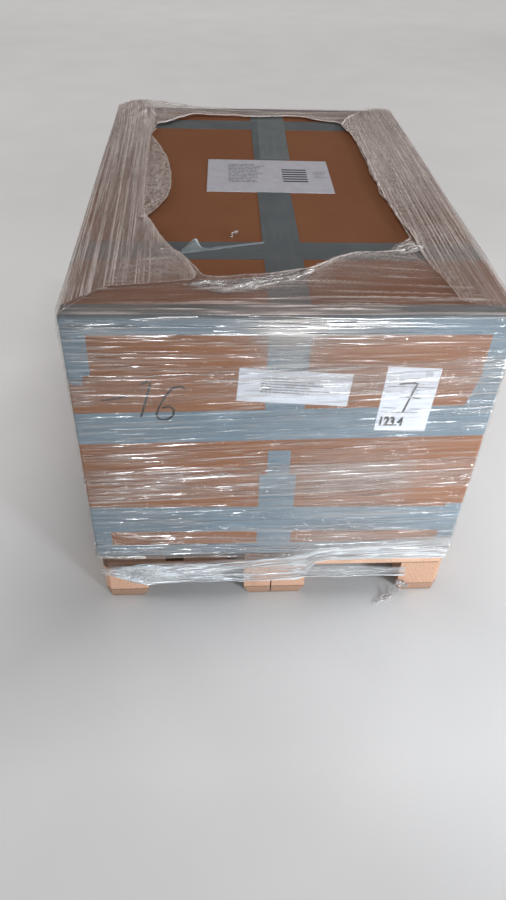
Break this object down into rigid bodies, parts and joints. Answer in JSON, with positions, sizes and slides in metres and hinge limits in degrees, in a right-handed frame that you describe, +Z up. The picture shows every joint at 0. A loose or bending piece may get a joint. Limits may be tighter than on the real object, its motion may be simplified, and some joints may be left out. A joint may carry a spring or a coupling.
{
  "type": "shrink wrapped pallet load",
  "caption": "Large taped corrugated carton on a four-way block pallet, wound with clear stretch film that laps over the top edge and hangs as a skirt over the pallet's front.",
  "frame": {"origin": "on the floor under the middle of the pallet", "axes": "+X across the pallet to the right as seen from the front, +Y along the pallet away from the front end with the labels, +Z up"},
  "size_m": [0.8116, 1.2476, 0.7739],
  "materials": {
    "pallet_wood": "sawn softwood, unpainted",
    "cardboard": "brown kraft corrugated board",
    "packed_goods": "plain hidden core",
    "grey_tape": "silver grey cloth tape, satin",
    "paper": "white office paper and label stock",
    "stretch_film": "clear stretch film, wrinkled, glossy"
  },
  "bodies": {
    "root": {"address_label": "paper", "block_back_left": "pallet_wood", "block_back_middle": "pallet_wood", "block_back_right": "pallet_wood", "block_front_left": "pallet_wood", "block_front_middle": "pallet_wood", "block_front_right": "pallet_wood", "block_middle_left": "pallet_wood", "block_middle_middle": "pallet_wood", "block_middle_right": "pallet_wood", "bottom_board_left": "pallet_wood", "bottom_board_middle": "pallet_wood", "bottom_board_right": "pallet_wood", "bottom_edge_tape_back": "grey_tape", "bottom_edge_tape_front": "grey_tape", "bottom_seam_tape": "grey_tape", "carton": "cardboard", "corner_tape_lower_back_left": "grey_tape", "corner_tape_lower_back_right": "grey_tape", "corner_tape_lower_front_left": "grey_tape", "corner_tape_lower_front_right": "grey_tape", "corner_tape_upper_back_left": "grey_tape", "corner_tape_upper_back_right": "grey_tape", "corner_tape_upper_front_left": "grey_tape", "corner_tape_upper_front_right": "grey_tape", "cross_tape_back": "grey_tape", "cross_tape_front": "grey_tape", "deck_board_1": "pallet_wood", "deck_board_2": "pallet_wood", "deck_board_3": "pallet_wood", "deck_board_4": "pallet_wood", "deck_board_5": "pallet_wood", "film_skirt": "stretch_film", "film_strand": "stretch_film", "film_tail": "stretch_film", "lower_band_tape": "grey_tape", "mid_band_tape": "grey_tape", "packed_goods": "packed_goods", "seam_patch_tape": "grey_tape", "stringer_board_back": "pallet_wood", "stringer_board_front": "pallet_wood", "stringer_board_middle": "pallet_wood", "top_edge_tape_back": "grey_tape", "top_edge_tape_front": "grey_tape", "top_seam_tape": "grey_tape", "top_sheet": "paper", "weight_label": "paper", "wrap_film": "stretch_film"}
  },
  "joints": []
}
